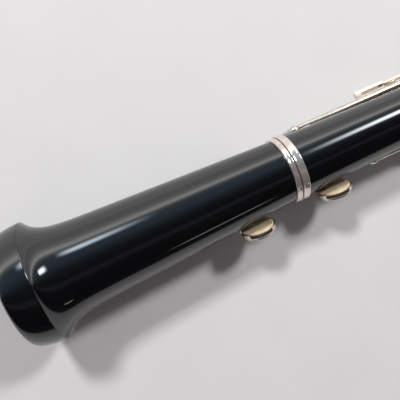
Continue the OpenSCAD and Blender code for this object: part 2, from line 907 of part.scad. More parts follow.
// A saddle on the back of the wood, with the thumb's hook and the eye for a neck strap
module thumb_rest() {
    eye_z = rest_r + rest_t + 2.2;
    color("silver") difference() {
        union() {
            arc_arm(rest_u, 180 - rest_half_th, 180 + rest_half_th, rest_r, rest_r + rest_t, rest_len);
            at(rest_u - rest_len / 2 + 6.5, 180) translate([0, 0, rest_r + 0.6]) rotate([90, 0, 90])
                linear_extrude(hook_t) {
                    translate([-7, 0]) square([14, hook_h - 7]);
                    translate([0, hook_h - 7]) circle(7);
                }
            at(rest_u + 4, 180) translate([0, strap_eye_w / 2, eye_z]) rotate([90, 0, 0])
                cylinder(r = strap_eye_r + 1.5, h = strap_eye_w);
        }
        at(rest_u + 4, 180) translate([0, 10, eye_z + 0.6]) rotate([90, 0, 0])
            cylinder(r = strap_eye_r, h = 20);
        cylinder_of_wood();
        rest_screw_places() {
            cylinder(r = rest_screw_r + 2 * slip, h = 12);
            translate([0, 0, 3.8]) cylinder(r = 1.9, h = 12);
        }
    }
}

module cylinder_of_wood() {
    bore_line(rest_u - rest_len, 180, 0, rest_r, 2 * rest_len);
}

module thumb_rest_screws() {
    slot_w = 0.5;
    color("gray") rest_screw_places() difference() {
        union() {
            cylinder(r = rest_screw_r, h = 4.2);
            translate([0, 0, 3.8 + slip]) cylinder(r = 1.7, h = 0.8);
        }
        translate([-3, -slot_w / 2, 4.25]) cube([6, slot_w, 2]);
    }
}

bell();
lower_joint();
upper_joint();
bell_ring();
foot_ring();
socket_ring();
shoulder_ring();
crown_ring();
bell_tenon_cork();
joint_tenon_cork();
bell_posts();
lower_posts();
upper_posts();
bell_hinge_rod();
lower_hinge_rods();
upper_hinge_rods();
lower_needle_springs();
upper_needle_springs();
thumb_rest();
thumb_rest_screws();
low_b_flat_key();
low_b_flat_pad();
low_b_flat_lever();
low_b_key();
low_b_pad();
low_b_lever();
low_c_key();
low_c_pad();
c_sharp_key();
c_sharp_pad();
e_flat_key();
e_flat_pad();
d_key();
d_pad();
e_key();
e_pad();
f_sharp_key();
f_sharp_pad();
f_key();
f_pad();
g_sharp_key();
g_sharp_pad();
g_key();
g_pad();
a_key();
a_pad();
half_hole_key();
half_hole_pad();
d_trill_key();
d_trill_pad();
left_trill_key();
left_trill_pad();
side_octave_key();
side_octave_pad();
thumb_octave_key();
thumb_octave_pad();
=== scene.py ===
"""An oboe lying on its front, seen from above its bell: glossy black wood, silver-plated keys, cream pads.

Lengths are in metres in the CAD frame. The bore runs along X with the reed end at x = 0 and the bell
mouth at negative x; +Z is the thumb side, which faces up as the oboe lies, and +Y the left-hand levers.
"""

import json
import math

import bmesh
import bpy
import numpy as np
from mathutils import Matrix, Vector

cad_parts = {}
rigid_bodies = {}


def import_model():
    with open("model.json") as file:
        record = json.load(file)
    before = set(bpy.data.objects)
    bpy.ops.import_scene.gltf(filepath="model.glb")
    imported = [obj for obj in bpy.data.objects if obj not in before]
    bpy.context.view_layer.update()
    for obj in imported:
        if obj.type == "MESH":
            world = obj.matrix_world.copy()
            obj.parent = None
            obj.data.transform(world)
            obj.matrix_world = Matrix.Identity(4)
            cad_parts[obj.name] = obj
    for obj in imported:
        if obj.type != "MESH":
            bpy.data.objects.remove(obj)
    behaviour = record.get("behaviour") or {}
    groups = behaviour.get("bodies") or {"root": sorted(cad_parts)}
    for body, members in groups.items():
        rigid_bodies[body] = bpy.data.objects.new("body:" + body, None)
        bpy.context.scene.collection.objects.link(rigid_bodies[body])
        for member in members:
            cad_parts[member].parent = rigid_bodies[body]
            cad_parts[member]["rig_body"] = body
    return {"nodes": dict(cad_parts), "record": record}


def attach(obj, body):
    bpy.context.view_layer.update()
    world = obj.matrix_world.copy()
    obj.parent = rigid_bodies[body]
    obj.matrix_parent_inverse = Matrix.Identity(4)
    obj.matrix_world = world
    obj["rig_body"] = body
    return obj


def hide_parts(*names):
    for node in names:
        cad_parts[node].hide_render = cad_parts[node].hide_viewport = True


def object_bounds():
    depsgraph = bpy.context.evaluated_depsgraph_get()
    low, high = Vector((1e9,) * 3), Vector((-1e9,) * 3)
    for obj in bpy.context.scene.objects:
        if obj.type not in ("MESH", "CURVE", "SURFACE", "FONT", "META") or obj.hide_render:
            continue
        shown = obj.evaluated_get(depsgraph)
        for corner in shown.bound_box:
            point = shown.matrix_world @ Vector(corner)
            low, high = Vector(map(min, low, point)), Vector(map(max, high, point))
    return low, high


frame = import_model()
cad_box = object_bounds()
scene = bpy.context.scene
MM = 0.001
MOUTH_X = cad_box[0].x


# ---------------------------------------------------------------- node materials


class Shader:
    """A material's node tree, with short calls for the nodes that the finishes below share."""

    def __init__(self, name):
        self.material = bpy.data.materials.new(name)
        self.material.use_nodes = True
        self.tree = self.material.node_tree
        self.surface = self.tree.nodes["Principled BSDF"]
        self.place = self.node("ShaderNodeTexCoord").outputs["Object"]

    def node(self, kind, **settings):
        made = self.tree.nodes.new(kind)
        for name, value in settings.items():
            setattr(made, name, value)
        return made

    def link(self, source, target):
        self.tree.links.new(source, target)

    def set(self, **values):
        """Sets the Principled shader's own sockets; underscores in a name stand for spaces."""
        for name, value in values.items():
            self.surface.inputs[name.replace("_", " ")].default_value = value

    def stretched(self, scale):
        """Object coordinates, stretched by scale along each axis."""
        mapping = self.node("ShaderNodeMapping")
        mapping.inputs["Scale"].default_value = scale
        self.link(self.place, mapping.inputs["Vector"])
        return mapping.outputs["Vector"]

    def noise(self, scale, detail, where=None):
        made = self.node("ShaderNodeTexNoise")
        made.inputs["Scale"].default_value = scale
        made.inputs["Detail"].default_value = detail
        self.link(where or self.place, made.inputs["Vector"])
        return made.outputs["Fac"]

    def spots(self, scale, size):
        """1 inside small spots scattered through space, 0 between them."""
        cells = self.node("ShaderNodeTexVoronoi")
        cells.inputs["Scale"].default_value = scale
        self.link(self.place, cells.inputs["Vector"])
        return self.ramp(cells.outputs["Distance"], [(size * 0.6, (1, 1, 1)), (size, (0, 0, 0))])

    def ramp(self, factor, stops):
        made = self.node("ShaderNodeValToRGB")
        elements = made.color_ramp.elements
        while len(elements) < len(stops):
            elements.new(0.5)
        for element, (position, colour) in zip(elements, stops):
            element.position = position
            element.color = (*colour, 1)
        self.link(factor, made.inputs["Fac"])
        return made.outputs["Color"]

    def levels(self, factor, low, high):
        """factor, spread from low to high."""
        made = self.node("ShaderNodeMapRange")
        made.inputs["To Min"].default_value = low
        made.inputs["To Max"].default_value = high
        self.link(factor, made.inputs["Value"])
        return made.outputs["Result"]

    def mix(self, factor, a, b):
        made = self.node("ShaderNodeMix", data_type="RGBA")
        for socket, value in ((0, factor), (6, a), (7, b)):
            if isinstance(value, (int, float)):
                made.inputs[socket].default_value = value
            elif isinstance(value, tuple):
                made.inputs[socket].default_value = (*value, 1)
            else:
                self.link(value, made.inputs[socket])
        return made.outputs[2]

    def colour(self, source):
        self.link(source, self.surface.inputs["Base Color"])

    def roughness(self, source):
        self.link(source, self.surface.inputs["Roughness"])

    def bump(self, height, strength, distance):
        made = self.node("ShaderNodeBump")
        made.inputs["Strength"].default_value = strength
        made.inputs["Distance"].default_value = distance
        self.link(height, made.inputs["Height"])
        if self.surface.inputs["Normal"].is_linked:
            self.link(self.surface.inputs["Normal"].links[0].from_socket, made.inputs["Normal"])
        self.link(made.outputs["Normal"], self.surface.inputs["Normal"])


def black_wood():
    """Grenadilla, almost black, oiled and polished: faint grain, fine dust and a light haze of handling."""
    s = Shader("black_wood")
    grain = s.noise(900, 4, s.stretched((0.04, 1, 1)))
    haze = s.noise(28, 4)
    s.colour(s.ramp(grain, [(0.3, (0.0010, 0.0010, 0.0014)), (0.7, (0.0024, 0.0023, 0.0028))]))
    dust = s.spots(330, 0.055)
    rubbed = s.mix(dust, s.levels(haze, 0.035, 0.11), (0.6, 0.6, 0.6))
    s.roughness(rubbed)
    s.bump(grain, 0.05, 0.00002)
    s.set(IOR=1.75, Specular_IOR_Level=0.5)
    return s


def bore_wood():
    """The bare wood of the bore and of the flats under the cups: dull and dark."""
    s = Shader("bore_wood")
    rings = s.noise(700, 4, s.stretched((1, 0.15, 0.15)))
    s.colour(s.ramp(rings, [(0.3, (0.002, 0.0018, 0.0018)), (0.7, (0.006, 0.005, 0.0045))]))
    s.roughness(s.levels(rings, 0.5, 0.65))
    s.set(Specular_IOR_Level=0.03)
    return s.material


def silver(name, tint, tarnish, polish, worn, metallic):
    """Silver plate.

    polish is the range of roughness, and tarnish the warm colour that gathers where it is handled less.
    """
    s = Shader(name)
    cloud = s.noise(150, 4)
    fine = s.noise(1400, 3)
    s.colour(s.mix(s.levels(cloud, 0.0, worn), tint, tarnish))
    s.roughness(s.levels(s.mix(0.5, cloud, fine), *polish))
    s.bump(fine, 0.06, 0.00002)
    s.set(Metallic=metallic)
    return s.material


def steel(name, tint):
    """Drawn steel rod, with fine lines along its length."""
    s = Shader(name)
    lines = s.noise(2500, 2, s.stretched((0.03, 1, 1)))
    s.colour(s.mix(lines, tint, tuple(0.7 * c for c in tint)))
    s.roughness(s.levels(lines, 0.18, 0.34))
    s.set(Metallic=1.0)
    return s.material


def pad_skin():
    """Goldbeater's skin stretched over felt: cream, with a waxy sheen, faint veins and fine creases."""
    s = Shader("pad_skin")
    mottle = s.noise(260, 5)
    veins = s.noise(900, 4, s.stretched((1, 0.5, 1)))
    warm = s.ramp(mottle, [(0.3, (0.62, 0.44, 0.25)), (0.72, (0.86, 0.70, 0.49))])
    s.colour(s.mix(s.levels(veins, 0.0, 0.35), warm, (0.92, 0.83, 0.68)))
    s.roughness(s.levels(veins, 0.34, 0.52))
    s.bump(veins, 0.25, 0.00008)
    s.bump(mottle, 0.3, 0.00015)
    s.set(Subsurface_Weight=0.15, Subsurface_Radius=(0.002, 0.0012, 0.0006), Subsurface_Scale=0.5)
    return s.material


def cork():
    """Natural cork, sanded: tan with dark lenticels."""
    s = Shader("cork")
    grains = s.noise(500, 5)
    pits = s.spots(420, 0.24)
    body = s.ramp(grains, [(0.3, (0.36, 0.20, 0.09)), (0.7, (0.60, 0.38, 0.19))])
    s.colour(s.mix(pits, body, (0.16, 0.08, 0.04)))
    s.roughness(s.levels(grains, 0.75, 0.9))
    s.bump(grains, 0.4, 0.0002)
    return s.material


POLISHED = black_wood()
SLOT_MATERIALS = {
    "black_wood": POLISHED.material,
    "silver_plate": silver("silver_plate", (0.92, 0.84, 0.76), (0.56, 0.41, 0.30), (0.05, 0.15), 0.7, 0.96),
    "ring_silver": silver("ring_silver", (0.95, 0.90, 0.85), (0.66, 0.46, 0.36), (0.05, 0.15), 0.6, 0.80),
    "steel": steel("steel", (0.62, 0.62, 0.62)),
    "blued_steel": steel("blued_steel", (0.10, 0.13, 0.24)),
    "pad_skin": pad_skin(),
    "cork": cork(),
}
BORE_WOOD = bore_wood()
RING_GROOVE = silver("ring_groove", (0.34, 0.26, 0.21), (0.16, 0.11, 0.08), (0.3, 0.5), 0.6, 0.7)


# ---------------------------------------------------------------- turned pieces


def mesh_object(name, verts, faces, material):
    mesh = bpy.data.meshes.new(name)
    mesh.from_pydata(verts, [], faces)
    made = bpy.data.objects.new(name, mesh)
    scene.collection.objects.link(made)
    mesh.materials.append(material)
    return made


def lathe(name, outline, material, segments, where=None, sharp=35):
    """A closed solid of revolution. outline is a closed loop of (along, radius) in mm, turned about X.

    where is a matrix that places the turned piece.
    """
    turns = np.arange(segments) * (2 * math.pi / segments)
    verts = [(a * MM, r * MM * math.cos(t), r * MM * math.sin(t)) for a, r in outline for t in turns]
    rings = len(outline)
    faces = []
    for k in range(rings):
        here, ahead = k * segments, ((k + 1) % rings) * segments
        for i in range(segments):
            j = (i + 1) % segments
            faces.append((here + i, here + j, ahead + j, ahead + i))
    made = mesh_object(name, verts, faces, material)
    work = bmesh.new()
    work.from_mesh(made.data)
    bmesh.ops.remove_doubles(work, verts=work.verts, dist=1e-7)
    bmesh.ops.recalc_face_normals(work, faces=work.faces)
    if where is not None:
        work.transform(where)
    work.to_mesh(made.data)
    work.free()
    smooth(made, sharp)
    return made


def smooth(piece, sharp):
    piece.data.polygons.foreach_set("use_smooth", [True] * len(piece.data.polygons))
    piece.data.set_sharp_from_angle(angle=math.radians(sharp))


def arc(centre, radius, start, end, steps):
    """Points of an arc in the (along, radius) plane, angles in degrees from the along axis."""
    return [
        (centre[0] + radius * math.cos(math.radians(a)), centre[1] + radius * math.sin(math.radians(a)))
        for a in np.linspace(start, end, steps)
    ]


def cut(piece, cutters):
    """Takes the cutters out of piece for good."""
    for cutter in cutters:
        change = piece.modifiers.new("cut", "BOOLEAN")
        change.operation = "DIFFERENCE"
        change.solver = "EXACT"
        change.object = cutter
    graph = bpy.context.evaluated_depsgraph_get()
    whole = bpy.data.meshes.new_from_object(piece.evaluated_get(graph))
    piece.modifiers.clear()
    old = piece.data
    piece.data = whole
    bpy.data.meshes.remove(old)
    for cutter in cutters:
        bpy.data.objects.remove(cutter)


SHARP = 30  # degrees; a sharper corner of the turned wood stays a corner
REACH = 0.43  # mm; how far off the outline a face may lie and still take its normals


def turned_normals(piece, outline):
    """Gives the faces that still lie on the outline's surface of revolution that surface's own normals.

    A boolean leaves long thin faces on the wood, and a glossy surface shows each of them otherwise.
    """
    points = np.array(outline, float)
    step = np.roll(points, -1, 0) - points
    length = np.hypot(*step.T)
    keep = length > 1e-9
    points, step, length = points[keep], step[keep], length[keep]
    own = np.stack([-step[:, 1], step[:, 0]], 1) / length[:, None]
    before, after = np.roll(own, 1, 0), np.roll(own, -1, 0)
    limit = math.cos(math.radians(SHARP))

    def blended(other):
        mixed = own + other
        mixed /= np.hypot(*mixed.T)[:, None]
        return np.where((own * other).sum(1)[:, None] > limit, mixed, own)

    first, last = blended(before), blended(after)
    mesh = piece.data
    count = len(mesh.vertices)
    place = np.empty(count * 3)
    mesh.vertices.foreach_get("co", place)
    place = place.reshape(-1, 3) / MM
    along, radius = place[:, 0], np.hypot(place[:, 1], place[:, 2])
    loops = np.empty(len(mesh.loops), int)
    mesh.loops.foreach_get("vertex_index", loops)
    normals = np.zeros((len(mesh.loops), 3))
    for face in mesh.polygons:
        corners = loops[face.loop_start : face.loop_start + face.loop_total]
        middle = place[corners].mean(0)
        mid = np.array([middle[0], np.hypot(middle[1], middle[2])])
        flat = np.array(face.normal)
        outward = np.array([0, middle[1], middle[2]]) / max(mid[1], 1e-9)
        facing = np.array([flat[0], flat @ outward])
        t = np.clip(((mid - points) * step).sum(1) / length**2, 0, 1)
        gap = np.hypot(*(points + t[:, None] * step - mid).T)
        gap = np.where(own @ facing > 0.9, gap, 9.0)
        best = int(gap.argmin())
        normals[face.loop_start : face.loop_start + face.loop_total] = flat
        if gap[best] > REACH:
            continue
        for slot, corner in enumerate(corners, face.loop_start):
            spot = np.array([along[corner], radius[corner]])
            share = np.clip(((spot - points[best]) @ step[best]) / length[best] ** 2, 0, 1)
            turned = first[best] * (1 - share) + last[best] * share
            if share > 0.999:
                turned = last[best]
            side = place[corner] * (0, 1, 1) / max(radius[corner], 1e-9)
            full = np.array([turned[0], 0, 0]) + turned[1] * side
            normals[slot] = full / np.linalg.norm(full)
    mesh.normals_split_custom_set([tuple(n) for n in normals])


def stand_in(piece, node):
    """piece rides with the CAD node that it stands for, which is hidden."""
    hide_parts(node)
    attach(piece, frame["nodes"][node]["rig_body"])


# ---------------------------------------------------------------- the wood

# Driving sizes of the turned wood, in mm, as the CAD model has them
BELL_LEN, LOWER_LEN, UPPER_LEN = 124.5, 240.0, 226.0
LIP_R, LIP_DEPTH, LIP_MOUTH_R = 25.8, 12.5, 22.0
CONE_R, BELL_TOP_R, FLARE_LEN, BELL_BORE_R = 19.3, 14.2, 4.6, 18.6
LOWER_R, LOWER_MID_R, LOWER_TOP_R, LOWER_TAPER = 14.45, 12.0, 13.3, 130.0
UPPER_R, NECK_R, CROWN_R, CROWN_TOP_R = 12.1, 9.0, 12.4, 10.5
BELL_TENON, JOINT_TENON = (15.5, 10.6), (19.0, 8.3)
SOCKET_GAP, END_GAP, RING_BED, CORK_GROOVE, TENON_LAND = 0.5, 0.4, 0.75, 0.9, 2.2
BELL_RING_W, FOOT_RING_W, MIDDLE_RING_W, CROWN_RING_W = 2.6, 3.7, 3.6, 4.0
BELL_RING_R, REED_WELL = 15.35, (3.45, 21.0)
LOWER_BORE, UPPER_BORE = (8.0, 5.3), (5.1, 2.1)
BELL_THROAT_R, INNER_LIP_R = LOWER_BORE[0] + 0.2, 1.6
SWELL_START, SWELL_LEN, CROWN_FLAT = 30.0, 18.0, 2.0
CHAMFER, WELL_CHAMFER = 0.3, 0.4
TOTAL = BELL_LEN + LOWER_LEN + UPPER_LEN
JOINT_U = BELL_LEN + LOWER_LEN
NECK_U, BULB_U = TOTAL - 40, TOTAL - 19
BELL_FLOOR = BELL_LEN - BELL_TENON[0] - END_GAP
LIE_ROLL = 180  # degrees from the clock angles of the keys to the frame, as the oboe lies on its front
# The polished crest of the lip: its radius, its middle's distance before the widest point, where its arc
# ends in degrees, and where the flare takes over
CREST_R, CREST_BACK, CREST_END, FLARE_START = 0.9, 0.465, 35.3, 0.35


def ease(t):
    return (1 - math.cos(math.pi * max(0.0, min(1.0, t)))) / 2


def bell_r(u):
    x = u - LIP_DEPTH
    slope = (CONE_R - BELL_TOP_R) / (BELL_LEN - LIP_DEPTH)
    return CONE_R - slope * x + (LIP_R - CONE_R) * math.exp(-x / FLARE_LEN)


def lower_r(u):
    x = u - BELL_LEN
    taper = max(0.0, 1 - x / LOWER_TAPER)
    swell = ease((x - LOWER_LEN + SWELL_START) / SWELL_LEN)
    return LOWER_MID_R + (LOWER_R - LOWER_MID_R) * taper * taper + (LOWER_TOP_R - LOWER_MID_R) * swell


def upper_r(u):
    if u < NECK_U:
        return UPPER_R - (UPPER_R - NECK_R) * (u - JOINT_U) / (NECK_U - JOINT_U)
    if u < BULB_U:
        return NECK_R + (CROWN_R - NECK_R) * ease((u - NECK_U) / (BULB_U - NECK_U))
    return CROWN_R + (CROWN_TOP_R - CROWN_R) * ease((u - BULB_U) / (TOTAL - CROWN_FLAT - BULB_U))


def body_r(u):
    if u < BELL_LEN:
        return bell_r(u)
    return lower_r(u) if u < JOINT_U else upper_r(u)


def bell_bore(u):
    return BELL_THROAT_R + (BELL_BORE_R - BELL_THROAT_R) * max(0.0, 1 - u / BELL_FLOOR) ** 1.3


def steps(start, end, count):
    return [float(u) for u in np.linspace(start, end, count)]


def tenon(end, shoulder, r):
    """A tenon from its free end to its shoulder, with the groove for its cork."""
    return [
        (end, r - CHAMFER),
        (end + CHAMFER, r),
        (end + TENON_LAND, r),
        (end + TENON_LAND, r - CORK_GROOVE),
        (shoulder - TENON_LAND, r - CORK_GROOVE),
        (shoulder - TENON_LAND, r),
        (shoulder, r),
    ]


def in_frame(outline):
    """Outlines are drawn from the bell mouth; the frame's origin is at the reed end."""
    return [(u - TOTAL, r) for u, r in outline]


def bell_outline():
    lip = [
        (LIP_DEPTH * (1 - math.cos(a)), LIP_MOUTH_R + (LIP_R - LIP_MOUTH_R) * math.sin(a))
        for a in np.radians(np.linspace(0, 86, 30))
    ]
    crest = arc((LIP_DEPTH - CREST_BACK, LIP_R - CREST_R), CREST_R, 90, CREST_END, 9)
    flare = [(u, bell_r(u)) for u in steps(LIP_DEPTH + FLARE_START, LIP_DEPTH + 24, 48)]
    cone = [(u, bell_r(u)) for u in steps(LIP_DEPTH + 26, BELL_LEN - BELL_RING_W, 30)]
    socket_r = BELL_TENON[1] + SOCKET_GAP
    bed = [(BELL_LEN - BELL_RING_W, BELL_TOP_R - RING_BED), (BELL_LEN, BELL_TOP_R - RING_BED)]
    socket = [(BELL_LEN, socket_r + CHAMFER), (BELL_LEN - CHAMFER, socket_r), (BELL_FLOOR, socket_r)]
    bore = [(u, bell_bore(u)) for u in steps(BELL_FLOOR, INNER_LIP_R, 40)]
    rounding = [
        (INNER_LIP_R * (1 - math.sin(a)), bell_bore(INNER_LIP_R) + INNER_LIP_R * (1 - math.cos(a)))
        for a in np.radians(np.linspace(8, 90, 10))
    ]
    return in_frame(lip + crest + flare + cone + bed + socket + bore + rounding)


def lower_outline():
    foot = BELL_LEN - BELL_TENON[0]
    floor = JOINT_U - JOINT_TENON[0] - END_GAP
    first, last = BELL_LEN + FOOT_RING_W, JOINT_U - MIDDLE_RING_W
    socket_r = JOINT_TENON[1] + SOCKET_GAP
    outline = [(foot, LOWER_BORE[0])] + tenon(foot, BELL_LEN, BELL_TENON[1])
    outline += [(BELL_LEN, LOWER_R - RING_BED), (first, LOWER_R - RING_BED)]
    outline += [(u, lower_r(u)) for u in steps(first, last, 120)]
    outline += [(last, LOWER_TOP_R - RING_BED), (JOINT_U, LOWER_TOP_R - RING_BED)]
    outline += [(JOINT_U, socket_r + CHAMFER), (JOINT_U - CHAMFER, socket_r)]
    outline += [(floor, socket_r), (floor, LOWER_BORE[1])]
    return in_frame(outline)


def upper_outline():
    foot = JOINT_U - JOINT_TENON[0]
    first, last = JOINT_U + MIDDLE_RING_W, TOTAL - CROWN_RING_W
    well_r, well_len = REED_WELL
    outline = [(foot, UPPER_BORE[0])] + tenon(foot, JOINT_U, JOINT_TENON[1])
    outline += [(JOINT_U, UPPER_R - RING_BED), (first, UPPER_R - RING_BED)]
    outline += [(u, upper_r(u)) for u in steps(first, NECK_U, 60)]
    outline += [(u, upper_r(u)) for u in steps(NECK_U + 0.6, last, 70)]
    outline += [(last, CROWN_TOP_R - RING_BED), (TOTAL, CROWN_TOP_R - RING_BED)]
    outline += [(TOTAL, well_r + WELL_CHAMFER), (TOTAL - WELL_CHAMFER, well_r)]
    outline += [(TOTAL - well_len, well_r), (TOTAL - well_len, UPPER_BORE[1])]
    return in_frame(outline)


# Tone holes under the padded keys: distance from the bell mouth, clock angle, radius of the cup
BELL_HOLES = [(BELL_LEN - 21.2, -80, 8.1)]
LOWER_HOLES = [
    (BELL_LEN + x, th, r)
    for x, th, r in [
        (18.2, -80, 8.2),
        (55.5, -2, 8.4),
        (90.5, -2, 7.4),
        (122.5, -104, 5.6),
        (148.5, 2, 7.6),
        (174.5, 2, 7.2),
        (198.5, 2, 7.0),
        (179.5, -106, 5.4),
    ]
]
UPPER_HOLES = [
    (JOINT_U + x, th, r)
    for x, th, r in [
        (19.5, 12, 5.2),
        (39.5, 2, 6.4),
        (67.5, 2, 6.0),
        (93.5, 2, 5.6),
        (127.5, -34, 4.6),
        (135.5, 16, 4.4),
        (161.5, 66, 3.8),
        (143.5, 180, 3.8),
    ]
]
SEAT_DROP, FACET_SINK, RIM_W = 0.6, 0.9, 1.2
CUP_ROOM, CUTTER_LEN = 0.5, 9.0
HOLE_CHAMFER, RIM_CHAMFER = 0.15, 0.2
DULL_START, DULL_END = 1.2 * MM, 2.6 * MM


def spoke(u, th):
    """A matrix whose +X points outwards from the bore at u, at clock angle th."""
    turn = Matrix.Rotation(math.radians(th + LIE_ROLL), 4, "X") @ Matrix.Rotation(math.radians(-90), 4, "Y")
    return Matrix.Translation(((u - TOTAL) * MM, 0, 0)) @ turn


def dull_seats(s, holes):
    """The polish dies away close round each tone hole, where no cloth reaches under the cup."""
    nearest = None
    for u, th, cup_r in holes:
        away = s.node("ShaderNodeVectorMath", operation="DISTANCE")
        s.link(s.place, away.inputs[0])
        away.inputs[1].default_value = spoke(u, th) @ Vector((body_r(u) * MM, 0, 0))
        past = s.node("ShaderNodeMath", operation="SUBTRACT")
        s.link(away.outputs["Value"], past.inputs[0])
        past.inputs[1].default_value = cup_r * MM
        if nearest:
            least = s.node("ShaderNodeMath", operation="MINIMUM")
            s.link(nearest, least.inputs[0])
            s.link(past.outputs[0], least.inputs[1])
            past = least
        nearest = past.outputs[0]
    reach = s.node("ShaderNodeMapRange", interpolation_type="SMOOTHSTEP")
    for name, value in (("From Min", DULL_START), ("From Max", DULL_END), ("To Min", 1), ("To Max", 0)):
        reach.inputs[name].default_value = value
    s.link(nearest, reach.inputs["Value"])
    polish = s.surface.inputs["Roughness"].links[0].from_socket
    s.roughness(s.mix(reach.outputs["Result"], polish, (0.5, 0.5, 0.5)))


def hole_cutter(u, th, cup_r):
    """The tone hole with its raised rim, and the sunk flat round it that clears the cup."""
    seat = body_r(u) - SEAT_DROP
    hole = 0.5 * cup_r
    outline = [
        (0, 0),
        (0, hole),
        (seat - HOLE_CHAMFER, hole),
        (seat, hole + HOLE_CHAMFER),
        (seat, hole + RIM_W - RIM_CHAMFER),
        (seat - RIM_CHAMFER, hole + RIM_W),
        (seat - FACET_SINK, hole + RIM_W),
        (seat - FACET_SINK, cup_r + CUP_ROOM - HOLE_CHAMFER),
        (seat - FACET_SINK + HOLE_CHAMFER, cup_r + CUP_ROOM),
        (seat + CUTTER_LEN, cup_r + CUP_ROOM),
        (seat + CUTTER_LEN, 0),
    ]
    return lathe("cutter", outline, SLOT_MATERIALS["black_wood"], 96, spoke(u, th))


# The polish reaches this far below the outer surface and into the mouth, in mm
POLISH_DEPTH, POLISHED_MOUTH = 0.08, 2.5


def turned_wood(node, outline, holes):
    """A joint of the oboe, turned and bored for its tone holes, glossy but for the bore and the flats."""
    wood = lathe(node + "_turned", outline, SLOT_MATERIALS["black_wood"], 192)
    wood.data.materials.append(BORE_WOOD)
    cut(wood, [hole_cutter(*hole) for hole in holes])
    smooth(wood, SHARP)
    turned_normals(wood, outline)
    for face in wood.data.polygons:
        u, r = face.center.x / MM + TOTAL, math.hypot(face.center.y, face.center.z) / MM
        inward = (face.normal.y * face.center.y + face.normal.z * face.center.z) / MM < -0.3 * r
        sunk = u > LIP_DEPTH and r < body_r(u) - POLISH_DEPTH
        face.material_index = int(sunk or (inward and u > POLISHED_MOUTH))
    stand_in(wood, node)


dull_seats(POLISHED, BELL_HOLES + LOWER_HOLES + UPPER_HOLES)
turned_wood("bell", bell_outline(), BELL_HOLES)
turned_wood("lower_joint", lower_outline(), LOWER_HOLES)
turned_wood("upper_joint", upper_outline(), UPPER_HOLES)


# ---------------------------------------------------------------- rings


RING_EDGE, CHANNEL_DEPTH, BEAD_W = 0.5, 0.13, 0.55
GROOVE_HALF = 0.34
WOOD_GAP = 0.02
JOINT_RING_R, CROWN_RING_R = LOWER_TOP_R + 0.9, CROWN_TOP_R + 0.7


def ring(node, start, width, outer, inner):
    """A drawn silver ring: rolled edges, a shallow channel between two beads, dark where two rings meet."""
    face = []
    for i in range(25):
        x = RING_EDGE + (width - 2 * RING_EDGE) * i / 24
        near = min(x, width - x) - RING_EDGE
        face.append((start + x, outer - CHANNEL_DEPTH * ease(near / BEAD_W) if near > 0 else outer))
    lower_edge = arc((start + RING_EDGE, outer - RING_EDGE), RING_EDGE, 180, 96, 8)
    upper_edge = arc((start + width - RING_EDGE, outer - RING_EDGE), RING_EDGE, 84, 0, 8)
    outline = [(start, inner)] + lower_edge + face + upper_edge + [(start + width, inner)]
    made = lathe(node + "_turned", in_frame(outline), SLOT_MATERIALS["ring_silver"], 192, sharp=60)
    made.data.materials.append(RING_GROOVE)
    for face in made.data.polygons:
        u = face.center.x / MM + TOTAL
        face.material_index = int(min(abs(u - BELL_LEN), abs(u - JOINT_U)) < GROOVE_HALF)
    stand_in(made, node)


ring("bell_ring", BELL_LEN - BELL_RING_W, BELL_RING_W, BELL_RING_R, BELL_TOP_R - RING_BED + WOOD_GAP)
ring("foot_ring", BELL_LEN, FOOT_RING_W, BELL_RING_R, LOWER_R - RING_BED + WOOD_GAP)
ring("socket_ring", JOINT_U - MIDDLE_RING_W, MIDDLE_RING_W, JOINT_RING_R, LOWER_TOP_R - RING_BED + WOOD_GAP)
ring("shoulder_ring", JOINT_U, MIDDLE_RING_W, JOINT_RING_R, UPPER_R - RING_BED + WOOD_GAP)
ring("crown_ring", TOTAL - CROWN_RING_W, CROWN_RING_W, CROWN_RING_R, CROWN_TOP_R - RING_BED + WOOD_GAP)


# ---------------------------------------------------------------- pads


def disc_of(node):
    """Centre, axis, radius and thickness of a pad, from its CAD disc. The axis points to the bore."""
    mesh = frame["nodes"][node].data
    place = np.array([v.co for v in mesh.vertices], float)
    unique = np.unique(place.round(7), axis=0)
    middle = (unique.max(0) + unique.min(0)) / 2
    axes = np.linalg.eigh(np.cov((unique - middle).T))[1]
    extents = [np.ptp(unique @ axes[:, i]) for i in range(3)]
    axis = axes[:, int(np.argmin(extents))]
    toward = -np.array([0, middle[1], middle[2]])
    if axis @ toward < 0:
        axis = -axis
    heights = unique @ axis
    thickness = np.ptp(heights)
    centre = middle + axis * ((heights.max() + heights.min()) / 2 - middle @ axis)
    offsets = unique - centre
    offsets -= np.outer(offsets @ axis, axis)
    return Vector(centre), Vector(axis), float(np.linalg.norm(offsets, axis=1).max()), float(thickness)


# How much smaller a pad is than its cup, the rounding of its edge, its fall from the middle to the edge, and
# the depth and width of the mark that the tone hole's rim leaves in it, all in mm
PAD_INSET, PAD_EDGE, PAD_FALL = 0.62, 0.55, 0.10
PRINT_DEPTH, PRINT_W = 0.13, 0.42
PLEAT, WAVE = 0.022 * MM, 0.03 * MM


